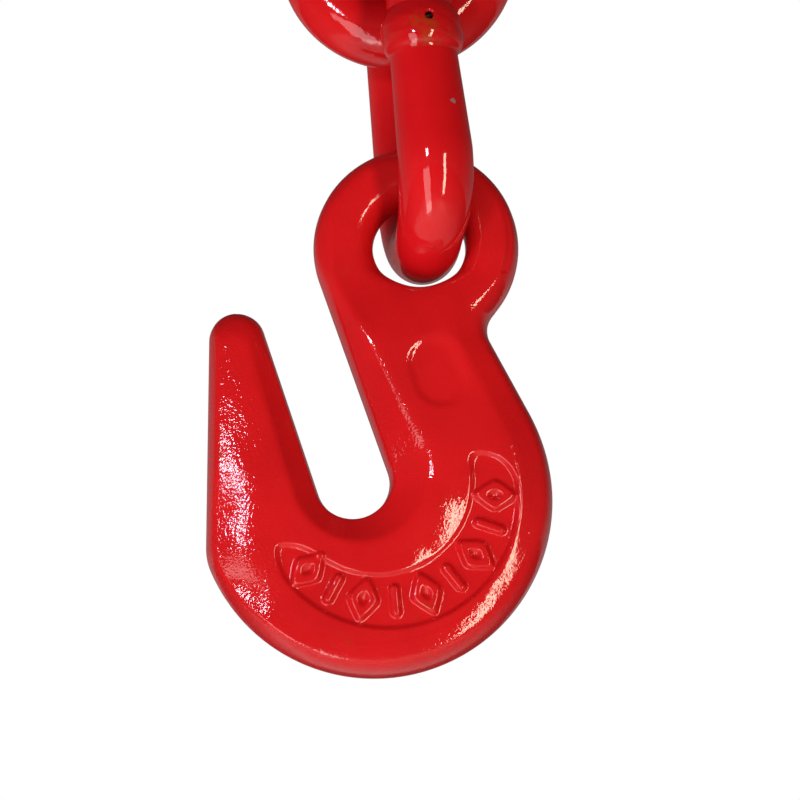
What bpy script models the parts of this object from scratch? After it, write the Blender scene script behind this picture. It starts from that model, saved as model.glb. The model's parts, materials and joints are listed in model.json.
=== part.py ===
"""Chain grab hook on its coupling link, hanging from the eye of a tie-down screw.

Metres, +Z up.  The origin is the middle of the flat end of the eye screw's stem.
The hook and the screw's eye lie in the XZ plane; the link passes through both.
"""
import math

import bmesh
import bpy
import numpy as np
from mathutils import Vector
from mathutils.geometry import delaunay_2d_cdt

MM = 0.001

# Eye screw: a forged ring with a short threaded stem above it.
EYE_CENTRE = Vector((0.0, 0.0, -62.5 * MM))
EYE_OUTER_RADIUS = 23.45 * MM
EYE_BAR_RADIUS = 7.0 * MM
EYE_PATH_RADIUS = EYE_OUTER_RADIUS - EYE_BAR_RADIUS
EYE_STEPS = 48
STEM_RADIUS = 10.0 * MM
STEM_CHAMFER = 1.5 * MM
COLLAR_RADIUS = 11.5 * MM
COLLAR_TOP_Z = -31.0 * MM
COLLAR_BEVEL = 3.0 * MM
STEM_SIDES = 40

# Coupling link: round bar bent to an oval, its two ends joined by a weld.
BAR_RADIUS = 6.35 * MM
LINK_BEND_RADIUS = 14.85 * MM
LINK_LEAN = math.radians(-4.2)
LINK_YAW = math.radians(8.0)
LINK_SEAT = math.radians(7.0)
LINK_PLAY = 0.8 * MM
LINK_TOP_RISE = EYE_BAR_RADIUS + BAR_RADIUS + LINK_PLAY
LINK_PITCH = 58.05 * MM
BAR_SIDES = 20
BEND_STEPS = 14
WELD_GAP = 0.3 * MM
WELD_LENGTH = 8.6 * MM
WELD_RISE = 9.0 * MM
WELD_RADIUS = 7.8 * MM
WELD_EDGE_RADIUS = 6.8 * MM

# Grab hook outline, measured from the centre of its round bowl, in millimetres.
# Each circle is (x, z, radius); the outline runs clockwise round the outward ones
# and the other way round the two hollow ones, whose radius is negative.
BORE = (8.4, 48.65, 8.9)
BAR_IN_BORE = 1.2
TIP = (-26.1, 30.3, 5.3)
SLOT_END = (-4.0, 2.9, -6.8)
EYE = (7.8, 48.65, 19.6)
NECK = (26.3, 32.3, -5.0)
BOWL = (0.0, 0.0, 33.2)
SHOULDER_RADIUS = 35.2
SHOULDER_BEARING = math.radians(7.1)
HEEL_RADIUS = 11.0
HEEL_BEARING = math.radians(204.2)

# Ridge where the slot's sloping flare meets the flat of the body.
RIDGE_START = (-25.1, 31.9, 0.0)
RIDGE_BEND = (-2.4, 4.1, -13.4)
RIDGE_EYE = (7.8, 48.65, 17.3)

# Hook section, in millimetres: half thicknesses, edge roundings and where they change.
BODY_HALF = 8.3
EYE_HALF = 6.5
THIN_FROM_Z = 28.0
THIN_TO_Z = 44.0
SEAM_HALF = 1.5
ON_EDGE = 0.02
EDGE_ROUND = 4.6
BORE_ROUND = 4.3
SLOT_ROUND = 1.4
SLOT_EDGE_HALF = 4.6
FLARE_END_LEFT = (25.0, 34.0)
FLARE_END_RIGHT = (45.0, 61.0)
EDGE_LOOPS = (0.4, 1.4, 2.9, 4.4)
BORE_LOOPS = (0.4, 1.4, 2.8, 4.3)
BORE_SIDES = 32
GRID_STEP = 3.2
GRID_CLEARANCE = 1.9
RIDGE_CLEARANCE = 0.5
ARC_STEP = math.radians(14.0)
RUN_STEP = 3.3


def clear_scene():
    for item in list(bpy.data.objects):
        bpy.data.objects.remove(item)


def paint(name, colour):
    material = bpy.data.materials.new(name)
    material.use_nodes = True
    shader = material.node_tree.nodes["Principled BSDF"]
    shader.inputs["Base Color"].default_value = (*colour, 1.0)
    shader.inputs["Roughness"].default_value = 0.22
    shader.inputs["Metallic"].default_value = 0.0
    return material


def add_object(name, work, location, colour):
    bmesh.ops.recalc_face_normals(work, faces=work.faces)
    mesh = bpy.data.meshes.new(name)
    work.to_mesh(mesh)
    work.free()
    mesh.shade_smooth()
    mesh.set_sharp_from_angle(angle=math.radians(50.0))
    mesh.materials.append(paint(name + "_paint", colour))
    result = bpy.data.objects.new(name, mesh)
    result.location = location
    bpy.context.scene.collection.objects.link(result)
    return result


def circle_touching_bowl(radius, bearing):
    """Circle of this radius that shares a tangent with the bowl at this bearing."""
    reach = BOWL[2] - radius
    return BOWL[0] + reach * math.cos(bearing), BOWL[1] + reach * math.sin(bearing), radius


def hook_outline():
    shoulder = circle_touching_bowl(SHOULDER_RADIUS, SHOULDER_BEARING)
    heel = circle_touching_bowl(HEEL_RADIUS, HEEL_BEARING)
    return TIP, SLOT_END, EYE, NECK, shoulder, BOWL, heel


def tangent_points(first, second, offset):
    """Ends of the straight run between two circles, both shrunk by offset."""
    start = np.array(first[:2])
    end = np.array(second[:2])
    start_radius = first[2] - offset
    end_radius = second[2] - offset
    gap = end - start
    length = np.linalg.norm(gap)
    along = gap / length
    left = np.array((-along[1], along[0]))
    lean = (end_radius - start_radius) / length
    right_normal = lean * along - math.sqrt(max(1.0 - lean * lean, 0.0)) * left
    return start - start_radius * right_normal, end - end_radius * right_normal


def arc_points(circle, enter, leave):
    """Points round one circle of a belt, from where it is met to where it is left."""
    centre = np.array(circle[:2])
    radius = np.linalg.norm(enter - centre)
    begin = math.atan2(*(enter - centre)[::-1])
    finish = math.atan2(*(leave - centre)[::-1])
    sweep = (begin - finish) % math.tau
    if circle[2] < 0.0:
        sweep = sweep - math.tau
    steps = max(1, round(abs(sweep) / ARC_STEP), round(abs(sweep) * radius / RUN_STEP))
    turns = [begin - sweep * step / steps for step in range(steps + 1)]
    return [centre + radius * np.array((math.cos(turn), math.sin(turn))) for turn in turns]


def belt(circles, offset):
    """Closed outline run like a belt round the circles, moved inwards by offset."""
    points = []
    for index, circle in enumerate(circles):
        before = circles[index - 1]
        after = circles[(index + 1) % len(circles)]
        enter = tangent_points(before, circle, offset)[1]
        leave = tangent_points(circle, after, offset)[0]
        points.extend(arc_points(circle, enter, leave))
    return even_runs(points, closed=True)


def even_runs(points, closed):
    """Drop doubled points and split long straight runs."""
    pairs = list(zip(points, points[1:] + points[:1]))
    if not closed:
        pairs.pop()
    result = []
    for start, end in pairs:
        length = np.linalg.norm(end - start)
        if length < 0.05:
            continue
        count = max(1, round(length / RUN_STEP))
        result.extend(start + (end - start) * index / count for index in range(count))
    if not closed:
        result.append(points[-1])
    return result


def open_belt(circles, start, end):
    """Part of a belt, from a point on its first circle to a point on its last."""
    points = []
    enter = np.array(start)
    for circle, after in zip(circles, circles[1:]):
        leave, following_enter = tangent_points(circle, after, 0.0)
        points.extend(arc_points(circle, enter, leave))
        enter = following_enter
    points.extend(arc_points(circles[-1], enter, np.array(end)))
    return np.array(even_runs(points, closed=False))


def top_of(circle):
    return circle[0], circle[1] + circle[2]


def circle_points(centre, radius):
    turns = [math.tau * index / BORE_SIDES for index in range(BORE_SIDES)]
    return [np.array((centre[0] + radius * math.cos(turn), centre[1] + radius * math.sin(turn)))
            for turn in turns]


def distance_to_path(point, path):
    """Shortest distance from a point to an open run of straight pieces."""
    starts = path[:-1]
    runs = path[1:] - starts
    lengths = np.maximum((runs * runs).sum(axis=1), 1e-12)
    shares = np.clip(((point - starts) * runs).sum(axis=1) / lengths, 0.0, 1.0)
    nearest = starts + runs * shares[:, None]
    return float(np.sqrt(((point - nearest) ** 2).sum(axis=1)).min())


def inside(point, polygon):
    """True where a level line from the point crosses the closed polygon an odd number of times."""
    following = np.roll(polygon, -1, axis=0)
    crosses = (polygon[:, 1] > point[1]) != (following[:, 1] > point[1])
    rise = np.where(crosses, following[:, 1] - polygon[:, 1], 1.0)
    reach = polygon[:, 0] + (following[:, 0] - polygon[:, 0]) * (point[1] - polygon[:, 1]) / rise
    return int(np.count_nonzero(crosses & (point[0] < reach))) % 2 == 1


def ramp(value, low, high):
    """Smooth rise from 0 at low to 1 at high."""
    share = min(max((value - low) / (high - low), 0.0), 1.0)
    return share * share * (3.0 - 2.0 * share)


def rounded(distance, width, height):
    """Height of a rounded side that climbs from the seam to this height over this width."""
    short = 1.0 - min(max(distance / width, 0.0), 1.0)
    return SEAM_HALF + (height - SEAM_HALF) * math.sqrt(1.0 - short * short)


class HookSection:
    """Half thickness of the forging over its outline."""

    def __init__(self):
        outline = hook_outline()
        self.outline = np.array(belt(outline, 0.0))
        self.slot = open_belt(outline[:3], top_of(TIP), top_of(EYE))
        self.outside = open_belt((*outline[2:], TIP), top_of(EYE), top_of(TIP))
        ridge = (RIDGE_START, RIDGE_BEND, RIDGE_EYE)
        self.ridge = open_belt(ridge, top_of(RIDGE_START), top_of(RIDGE_EYE))
        self.flare = np.vstack((self.slot, self.ridge[::-1]))

    def half_thickness(self, point):
        flat = BODY_HALF + (EYE_HALF - BODY_HALF) * ramp(point[1], THIN_FROM_Z, THIN_TO_Z)
        from_slot = distance_to_path(point, self.slot)
        from_outside = distance_to_path(point, self.outside)
        from_bore = math.dist(point, BORE[:2]) - BORE[2]
        side_of_slot = FLARE_END_LEFT if point[0] < SLOT_END[0] - 12.0 else FLARE_END_RIGHT
        fade = ramp(point[1], *side_of_slot)
        slot_side = self.flare_half(point, flat, from_slot) * (1.0 - fade)
        slot_side += rounded(from_slot, EDGE_ROUND, flat) * fade
        outer_side = rounded(from_outside, EDGE_ROUND, flat)
        bore_side = rounded(from_bore, BORE_ROUND, flat)
        return min(slot_side, outer_side, bore_side)

    def flare_half(self, point, flat, from_slot):
        if from_slot > ON_EDGE and not inside(point, self.flare):
            return flat
        from_ridge = distance_to_path(point, self.ridge)
        share = from_slot / max(from_slot + from_ridge, 1e-9)
        slope = SLOT_EDGE_HALF + (flat - SLOT_EDGE_HALF) * share
        return rounded(from_slot, SLOT_ROUND, slope)


def hook_triangles(section):
    """Flat triangle mesh of the hook's outline with its bore left open."""
    loops = [belt(hook_outline(), depth) for depth in (0.0, *EDGE_LOOPS)]
    loops.extend(circle_points(BORE, BORE[2] + depth) for depth in (0.0, *BORE_LOOPS))
    points = []
    edges = []
    for loop in loops:
        first = len(points)
        points.extend(loop)
        edges.extend((first + index, first + (index + 1) % len(loop)) for index in range(len(loop)))
    rim = np.vstack((section.outline, section.outline[:1]))
    ridge = [point for point in section.ridge
             if distance_to_path(point, rim) > EDGE_LOOPS[-1] + RIDGE_CLEARANCE]
    first = len(points)
    points.extend(ridge)
    edges.extend((first + index, first + index + 1) for index in range(len(ridge) - 1))
    fixed = np.array(points)
    for across in np.arange(-34.0, 36.0, GRID_STEP):
        for up in np.arange(-34.0, 66.0, GRID_STEP):
            spot = np.array((across, up))
            if not inside(spot, section.outline) or math.dist(spot, BORE[:2]) < BORE[2]:
                continue
            if np.sqrt(((fixed - spot) ** 2).sum(axis=1)).min() > GRID_CLEARANCE:
                points.append(spot)
    flat = [Vector((point[0], point[1])) for point in points]
    verts, _, faces, _, _, _ = delaunay_2d_cdt(flat, edges, [], 0, 1e-5)
    kept = []
    for face in faces:
        middle = np.array(sum((verts[index] for index in face), Vector((0.0, 0.0))) / len(face))
        if inside(middle, section.outline) and math.dist(middle, BORE[:2]) > BORE[2] - 0.05:
            kept.append(face)
    return verts, kept


def rim_runs(faces):
    """Directed edges that only one face uses: the outline and the bore."""
    runs = {(start, end) for face in faces for start, end in zip(face, face[1:] + face[:1])}
    return [run for run in runs if run[::-1] not in runs]


def build_hook(location):
    section = HookSection()
    verts, faces = hook_triangles(section)
    work = bmesh.new()
    front = []
    back = []
    for vert in verts:
        half = section.half_thickness(np.array(vert)) * MM
        across = (vert.x - BORE[0] - BAR_IN_BORE) * MM
        up = (vert.y - BORE[1]) * MM
        front.append(work.verts.new((across, -half, up)))
        back.append(work.verts.new((across, half, up)))
    for face in faces:
        work.faces.new([front[index] for index in face])
        work.faces.new([back[index] for index in reversed(face)])
    for start, end in rim_runs(faces):
        work.faces.new((front[end], front[start], back[start], back[end]))
    loose = [vert for vert in work.verts if not vert.link_faces]
    bmesh.ops.delete(work, geom=loose, context="VERTS")
    return add_object("grab_hook", work, location, (0.58, 0.008, 0.01))


def swept_bar(work, path, sides, radii):
    """Round bar along a flat path in the YZ plane, with closed ends."""
    rings = []
    for index, point in enumerate(path):
        before = path[max(index - 1, 0)]
        after = path[min(index + 1, len(path) - 1)]
        along = (after - before).normalized()
        outward = along.cross(Vector((1.0, 0.0, 0.0)))
        ring = []
        for side in range(sides):
            turn = math.tau * side / sides
            reach = Vector((1.0, 0.0, 0.0)) * math.cos(turn) + outward * math.sin(turn)
            ring.append(work.verts.new(point + reach * radii[index]))
        rings.append(ring)
    for lower, upper in zip(rings, rings[1:]):
        for side in range(sides):
            following = (side + 1) % sides
            work.faces.new((lower[side], lower[following], upper[following], upper[side]))
    work.faces.new(rings[0][::-1])
    work.faces.new(rings[-1])


def link_path():
    """Centre line of the link's bar, from one face of the weld round to the other."""
    top = LINK_TOP_RISE - LINK_BEND_RADIUS
    bottom = top - (LINK_PITCH - 2.0 * LINK_BEND_RADIUS)
    weld_z = (top + bottom) / 2.0 + WELD_RISE
    half = WELD_LENGTH / 2.0
    points = [Vector((0.0, -LINK_BEND_RADIUS, weld_z + half))]
    for step in range(BEND_STEPS + 1):
        turn = math.pi * step / BEND_STEPS
        points.append(Vector((0.0, -math.cos(turn), 0.0)) * LINK_BEND_RADIUS
                      + Vector((0.0, 0.0, top + math.sin(turn) * LINK_BEND_RADIUS)))
    for step in range(BEND_STEPS + 1):
        turn = math.pi * step / BEND_STEPS
        points.append(Vector((0.0, math.cos(turn), 0.0)) * LINK_BEND_RADIUS
                      + Vector((0.0, 0.0, bottom - math.sin(turn) * LINK_BEND_RADIUS)))
    points.append(Vector((0.0, -LINK_BEND_RADIUS, weld_z - half)))
    return [point for index, point in enumerate(points)
            if index == 0 or (point - points[index - 1]).length > 0.1 * MM]


def build_link(location):
    path = link_path()
    work = bmesh.new()
    swept_bar(work, path, BAR_SIDES, [BAR_RADIUS] * len(path))
    link = add_object("coupling_link", work, location, (0.56, 0.008, 0.01))
    upper, lower = path[0], path[-1]
    gap = Vector((0.0, 0.0, WELD_GAP))
    start = upper - gap
    end = lower + gap
    work = bmesh.new()
    spots = [start.lerp(end, share) for share in (0.0, 0.2, 0.5, 0.8, 1.0)]
    middle_radius = (WELD_RADIUS + WELD_EDGE_RADIUS) / 2.0
    radii = (WELD_EDGE_RADIUS, middle_radius, WELD_RADIUS, middle_radius, WELD_EDGE_RADIUS)
    swept_bar(work, spots, BAR_SIDES, radii)
    weld = add_object("closing_weld", work, (0.0, 0.0, 0.0), (0.52, 0.008, 0.01))
    weld.parent = link
    link.rotation_mode = "ZYX"
    link.rotation_euler = (0.0, LINK_LEAN, LINK_YAW)
    return link


def turned(work, profile, sides):
    """Solid of revolution about Z from (radius, height) pairs, first and last on the axis."""
    rings = []
    for radius, height in profile[1:-1]:
        turns = [math.tau * side / sides for side in range(sides)]
        rings.append([work.verts.new((radius * math.cos(turn), radius * math.sin(turn), height))
                      for turn in turns])
    for lower, upper in zip(rings, rings[1:]):
        for side in range(sides):
            following = (side + 1) % sides
            work.faces.new((lower[side], lower[following], upper[following], upper[side]))
    work.faces.new(rings[0][::-1])
    work.faces.new(rings[-1])


def build_eye_screw():
    work = bmesh.new()
    rings = []
    for step in range(EYE_STEPS):
        turn = math.tau * step / EYE_STEPS
        out = Vector((math.cos(turn), 0.0, math.sin(turn)))
        ring = []
        for side in range(BAR_SIDES):
            angle = math.tau * side / BAR_SIDES
            reach = out * math.cos(angle) + Vector((0.0, math.sin(angle), 0.0))
            ring.append(work.verts.new(EYE_CENTRE + out * EYE_PATH_RADIUS + reach * EYE_BAR_RADIUS))
        rings.append(ring)
    for index, ring in enumerate(rings):
        following_ring = rings[(index + 1) % len(rings)]
        for side in range(BAR_SIDES):
            following = (side + 1) % BAR_SIDES
            work.faces.new((ring[side], ring[following], following_ring[following],
                            following_ring[side]))
    eye = add_object("eye_screw", work, (0.0, 0.0, 0.0), (0.56, 0.008, 0.01))

    foot_z = EYE_CENTRE.z + EYE_PATH_RADIUS - 0.5 * MM
    profile = ((0.0, foot_z), (EYE_BAR_RADIUS - 1.0 * MM, foot_z),
               (COLLAR_RADIUS, EYE_CENTRE.z + EYE_OUTER_RADIUS - 2.4 * MM),
               (COLLAR_RADIUS, COLLAR_TOP_Z - COLLAR_BEVEL),
               (STEM_RADIUS, COLLAR_TOP_Z),
               (STEM_RADIUS, -STEM_CHAMFER), (STEM_RADIUS - STEM_CHAMFER, 0.0), (0.0, 0.0))
    work = bmesh.new()
    turned(work, profile, STEM_SIDES)
    stem = add_object("stem_blank", work, (0.0, 0.0, 0.0), (0.56, 0.008, 0.01))
    stem.hide_render = True
    stem.display_type = "WIRE"
    join = eye.modifiers.new("stem", "BOOLEAN")
    join.operation = "UNION"
    join.object = stem
    return eye


def build():
    clear_scene()
    build_eye_screw()
    seat = Vector((math.sin(LINK_SEAT), 0.0, -math.cos(LINK_SEAT)))
    link_hinge = EYE_CENTRE + seat * EYE_PATH_RADIUS
    build_link(link_hinge)
    reach = LINK_PITCH - LINK_TOP_RISE
    hook_hinge = link_hinge + Vector((-math.sin(LINK_LEAN), 0.0, -math.cos(LINK_LEAN))) * reach
    build_hook(hook_hinge)


build()
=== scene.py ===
import json
import math

import bmesh
import bpy
import numpy as np
from mathutils import Matrix, Vector, kdtree
from mathutils.geometry import delaunay_2d_cdt


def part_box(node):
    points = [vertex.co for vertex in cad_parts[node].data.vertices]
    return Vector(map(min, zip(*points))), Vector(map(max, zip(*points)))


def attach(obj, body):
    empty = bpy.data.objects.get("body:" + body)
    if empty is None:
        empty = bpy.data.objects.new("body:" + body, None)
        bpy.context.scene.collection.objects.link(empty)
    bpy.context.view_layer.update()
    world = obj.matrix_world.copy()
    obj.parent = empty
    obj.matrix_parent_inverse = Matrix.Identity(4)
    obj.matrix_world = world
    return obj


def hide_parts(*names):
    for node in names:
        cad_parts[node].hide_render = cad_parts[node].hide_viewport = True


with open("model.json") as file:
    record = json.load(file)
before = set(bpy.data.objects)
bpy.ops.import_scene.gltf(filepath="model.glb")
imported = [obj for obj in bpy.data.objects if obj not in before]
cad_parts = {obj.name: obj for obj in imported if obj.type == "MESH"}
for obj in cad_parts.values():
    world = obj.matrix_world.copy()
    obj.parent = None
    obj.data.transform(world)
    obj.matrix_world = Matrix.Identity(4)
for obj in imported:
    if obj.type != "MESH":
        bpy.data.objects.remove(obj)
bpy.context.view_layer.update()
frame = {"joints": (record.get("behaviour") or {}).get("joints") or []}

# ---- Eye screw --------------------------------------------------------------------
# The screw of a chain tensioner: a drop-forged ring of round bar that runs into a
# collar and a short stem with a rolled thread.  Carbon steel, dipped in red enamel
# with the thread already cut, so the enamel lies thin and dark in its roots.

MM = 0.001
screw_low, screw_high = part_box("eye_screw")
RING_OUTER = (screw_high.x - screw_low.x) / 2.0
RING_BAR = 7.0 * MM
RING_PATH = RING_OUTER - RING_BAR
RING_CENTRE = Vector((0.0, 0.0, screw_low.z + RING_OUTER))
COLLAR = 11.5 * MM
COLLAR_TOP_Z = -31.0 * MM
COLLAR_BEVEL = 3.0 * MM
COLLAR_FOOT_Z = RING_CENTRE.z + RING_PATH
COLLAR_SUNK = 4.0 * MM
COLLAR_WAIST = 5.5 * MM
WAIST_RISE = 7.0 * MM
WAIST_RUN = 9.0 * MM
RING_BLEND = 3.5 * MM
THREAD_OUTER = 10.0 * MM
THREAD_PITCH = 4.0 * MM
THREAD_DEPTH = 1.5 * MM
THREAD_CHAMFER = 1.6 * MM
THREAD_FOOT = 2.0 * MM
FORGING_GRAIN = 0.5 * MM


def linear(hex_colour):
    """Linear RGBA of an sRGB colour written as #RRGGBB."""
    shares = [int(hex_colour[start:start + 2], 16) / 255.0 for start in (1, 3, 5)]
    return (*(share / 12.92 if share <= 0.04045 else ((share + 0.055) / 1.055) ** 2.4
              for share in shares), 1.0)


def add(tree, kind, inputs=None, **settings):
    """Add a node, set its properties, and set or link its inputs by name or number."""
    node = tree.nodes.new(kind)
    for name, value in settings.items():
        setattr(node, name, value)
    for key, value in (inputs or {}).items():
        if isinstance(value, bpy.types.NodeSocket):
            tree.links.new(value, node.inputs[key])
        else:
            node.inputs[key].default_value = value
    return node


def spot_share(tree, place, centre, radius):
    """Share, 1 inside and 0 outside, of a ragged spot round a point."""
    ragged = add(tree, "ShaderNodeTexNoise", {"Vector": place, "Scale": 1.0 / radius, "Detail": 2.0})
    away = add(tree, "ShaderNodeVectorMath", {0: place, 1: centre}, operation="DISTANCE")
    reach = add(tree, "ShaderNodeMath", {0: ragged.outputs[0], 1: 2.0 * radius}, operation="MULTIPLY")
    past = add(tree, "ShaderNodeMath", {0: away.outputs["Value"], 1: reach.outputs[0]}, operation="DIVIDE")
    return add(tree, "ShaderNodeMapRange", {0: past.outputs[0], 1: 0.85, 2: 1.1, 3: 1.0, 4: 0.0}).outputs[0]


def enamel(name, colour, thin_colour, peel, settings):
    """Gloss enamel: colour drift, thin brown patches, dust nibs, orange peel, and one spot if asked (bare
    steel at a chip, painted shade in a pinhole).
    """
    material = bpy.data.materials.new(name)
    material.use_nodes = True
    tree = material.node_tree
    shader = tree.nodes["Principled BSDF"]
    place = add(tree, "ShaderNodeTexCoord").outputs["Object"]
    # Drift: the film is a little thicker in places, over about 18 mm.
    drift = add(tree, "ShaderNodeTexNoise", {"Vector": place, "Scale": 1.0 / (18 * MM), "Detail": 2.0})
    drift_share = add(tree, "ShaderNodeMapRange", {0: drift.outputs[0], 1: 0.3, 2: 0.7})
    body = add(tree, "ShaderNodeMix", {0: drift_share.outputs[0], 6: linear(colour),
                                       7: linear(settings["deep"])}, data_type="RGBA")
    # Thin spots: the brown of the steel shows through where the dip drained off, 7 mm patches.
    patch = add(tree, "ShaderNodeTexNoise", {"Vector": place, "Scale": 1.0 / (7 * MM), "Detail": 5.0,
                                             "Roughness": 0.6})
    patch_share = add(tree, "ShaderNodeMapRange", {0: patch.outputs[0], 1: settings["thin_from"],
                                                   2: settings["thin_from"] + 0.12, 4: 0.4})
    thin = add(tree, "ShaderNodeMix", {0: patch_share.outputs[0], 6: body.outputs[2],
                                       7: linear(thin_colour)}, data_type="RGBA")
    # Nibs: dust under the film, one in about 2.2 mm, drawn 0.2 mm across so that they show.
    nib = add(tree, "ShaderNodeTexVoronoi", {"Vector": place, "Scale": 1.0 / (2.2 * MM)})
    nib_height = add(tree, "ShaderNodeMapRange", {0: nib.outputs["Distance"], 1: 0.03, 2: 0.10,
                                                  3: 1.0, 4: 0.0})
    # Orange peel: 1.3 mm cells with a finer 0.45 mm grain on them.
    cells = add(tree, "ShaderNodeTexNoise", {"Vector": place, "Scale": 1.0 / (1.3 * MM), "Detail": 1.0})
    grain = add(tree, "ShaderNodeTexNoise", {"Vector": place, "Scale": 1.0 / (0.45 * MM), "Detail": 1.0})
    peel_bump = add(tree, "ShaderNodeBump", {"Height": cells.outputs[0], "Strength": 1.0,
                                             "Distance": peel})
    # The grain is coarser towards -X, from 15 to 24 mm out.
    side = add(tree, "ShaderNodeSeparateXYZ", {0: place})
    coarse = peel * settings["grain"]
    depth = add(tree, "ShaderNodeMapRange", {0: side.outputs[0], 1: -15 * MM, 2: -24 * MM,
                                             3: coarse, 4: coarse * settings["left_grain"]})
    grain_bump = add(tree, "ShaderNodeBump", {"Height": grain.outputs[0], "Strength": 1.0,
                                              "Distance": depth.outputs[0],
                                              "Normal": peel_bump.outputs[0]})
    nib_bump = add(tree, "ShaderNodeBump", {"Height": nib_height.outputs[0], "Strength": 1.0,
                                            "Distance": 0.012 * MM, "Normal": grain_bump.outputs[0]})
    rough = add(tree, "ShaderNodeMapRange", {0: patch.outputs[0], 1: 0.3, 2: 0.8,
                                             3: settings["rough"], 4: settings["rough"] + 0.04})
    film = thin.outputs[2]
    # The spot is either a chip down to bare steel, which is real wear, or painted shade in a hole.
    if "spot" in settings:
        centre, radius, chip_and_shade_colour = settings["spot"]
        share = spot_share(tree, place, centre, radius)
        film = add(tree, "ShaderNodeMix", {0: share, 6: film, 7: linear(chip_and_shade_colour)}, data_type="RGBA").outputs[2]
    tree.links.new(film, shader.inputs["Base Color"])
    tree.links.new(rough.outputs[0], shader.inputs["Roughness"])
    tree.links.new(nib_bump.outputs[0], shader.inputs["Normal"])
    shader.inputs["Metallic"].default_value = 0.0
    shader.inputs["IOR"].default_value = 1.5
    return material


def new_tree(name, sizes):
    """Empty geometry node group with named length inputs; returns it with their sockets."""
    tree = bpy.data.node_groups.new(name, "GeometryNodeTree")
    tree.interface.new_socket("Geometry", in_out="INPUT", socket_type="NodeSocketGeometry")
    tree.interface.new_socket("Geometry", in_out="OUTPUT", socket_type="NodeSocketGeometry")
    for size in sizes:
        tree.interface.new_socket(size, in_out="INPUT", socket_type="NodeSocketFloat")
    entry = tree.nodes.new("NodeGroupInput")
    return tree, entry.outputs


def close_tree(tree, geometry, material):
    """End a tree in Realize Instances and Set Material."""
    real = add(tree, "GeometryNodeRealizeInstances", {"Geometry": geometry})
    dressed = add(tree, "GeometryNodeSetMaterial", {"Geometry": real.outputs[0], "Material": material})
    add(tree, "NodeGroupOutput", {0: dressed.outputs[0]})


def grown(source, tree, sizes):
    """Plain mesh that a tree makes of an object, with its inputs set by identifier."""
    step = source.modifiers.new(tree.name, "NODES")
    step.node_group = tree
    for socket in tree.interface.items_tree:
        if socket.in_out == "INPUT" and socket.name in sizes:
            step[socket.identifier] = sizes[socket.name]
    view = bpy.context.evaluated_depsgraph_get()
    mesh = bpy.data.meshes.new_from_object(source.evaluated_get(view))
    source.modifiers.remove(step)
    bpy.data.objects.remove(source)
    return mesh


def shown(name, mesh):
    """Object for a finished mesh, shaded smooth and linked to the scene."""
    mesh.name = name
    mesh.shade_smooth()
    piece = bpy.data.objects.new(name, mesh)
    bpy.context.scene.collection.objects.link(piece)
    return piece


# Enamel dipped over forged scale: heavy orange peel and a fine grain on the gloss.
eye_enamel = enamel("dipped_enamel_on_forged_eye", "#CC181C", "#8A3A14", 0.030 * MM,
                    {"deep": "#C01016", "thin_from": 0.62, "grain": 0.5, "left_grain": 1.0, "rough": 0.05})

tree, size = new_tree("forged ring", ("Path radius", "Bar radius"))
turn = add(tree, "GeometryNodeCurvePrimitiveCircle", {"Resolution": 180, "Radius": size["Path radius"]})
upright = add(tree, "GeometryNodeTransform", {"Geometry": turn.outputs[0],
                                              "Rotation": (math.pi / 2.0, 0.0, 0.0)})
bar = add(tree, "GeometryNodeCurvePrimitiveCircle", {"Resolution": 64, "Radius": size["Bar radius"]})
sweep = add(tree, "GeometryNodeCurveToMesh", {"Curve": upright.outputs[0],
                                              "Profile Curve": bar.outputs[0]})
close_tree(tree, sweep.outputs[0], eye_enamel)
ring_seed = shown("ring_seed", bpy.data.meshes.new("ring_seed"))
ring_mesh = grown(ring_seed, tree, {"Path radius": RING_PATH, "Bar radius": RING_BAR})
ring_mesh.transform(Matrix.Translation(RING_CENTRE))

# The thread: a cylinder whose radius follows a wave wound once round the stem per pitch.
tree, size = new_tree("rolled thread", ("Radius", "Length", "Pitch", "Depth", "Chamfer"))
blank = add(tree, "GeometryNodeMeshCylinder", {"Vertices": 96, "Side Segments": 150,
                                               "Radius": size["Radius"], "Depth": size["Length"]})
spot = add(tree, "ShaderNodeSeparateXYZ", {0: add(tree, "GeometryNodeInputPosition").outputs[0]})
angle = add(tree, "ShaderNodeMath", {0: spot.outputs[1], 1: spot.outputs[0]}, operation="ARCTAN2")
turns = add(tree, "ShaderNodeMath", {0: angle.outputs[0], 1: math.tau}, operation="DIVIDE")
rise = add(tree, "ShaderNodeMath", {0: spot.outputs[2], 1: size["Pitch"]}, operation="DIVIDE")
phase = add(tree, "ShaderNodeMath", {0: rise.outputs[0], 1: turns.outputs[0]}, operation="SUBTRACT")
wave = add(tree, "ShaderNodeMath", {0: phase.outputs[0], 1: 0.5}, operation="PINGPONG")
flank = add(tree, "ShaderNodeMapRange", {0: wave.outputs[0], 1: 0.08, 2: 0.42},
            interpolation_type="SMOOTHSTEP")
groove = add(tree, "ShaderNodeMath", {0: flank.outputs[0], 1: size["Depth"]}, operation="MULTIPLY")
half = add(tree, "ShaderNodeMath", {0: size["Length"], 1: 0.5}, operation="MULTIPLY")
below_end = add(tree, "ShaderNodeMath", {0: half.outputs[0], 1: spot.outputs[2]}, operation="SUBTRACT")
bevel = add(tree, "ShaderNodeMath", {0: size["Chamfer"], 1: below_end.outputs[0]}, operation="SUBTRACT")
cut = add(tree, "ShaderNodeMath", {0: groove.outputs[0], 1: bevel.outputs[0]}, operation="MAXIMUM")
share = add(tree, "ShaderNodeMath", {0: cut.outputs[0], 1: size["Radius"]}, operation="DIVIDE")
keep = add(tree, "ShaderNodeMath", {0: 1.0, 1: share.outputs[0]}, operation="SUBTRACT")
scale = add(tree, "ShaderNodeCombineXYZ", {0: keep.outputs[0], 1: keep.outputs[0], 2: 1.0})
where = add(tree, "ShaderNodeVectorMath", {0: add(tree, "GeometryNodeInputPosition").outputs[0],
                                           1: scale.outputs[0]}, operation="MULTIPLY")
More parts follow.
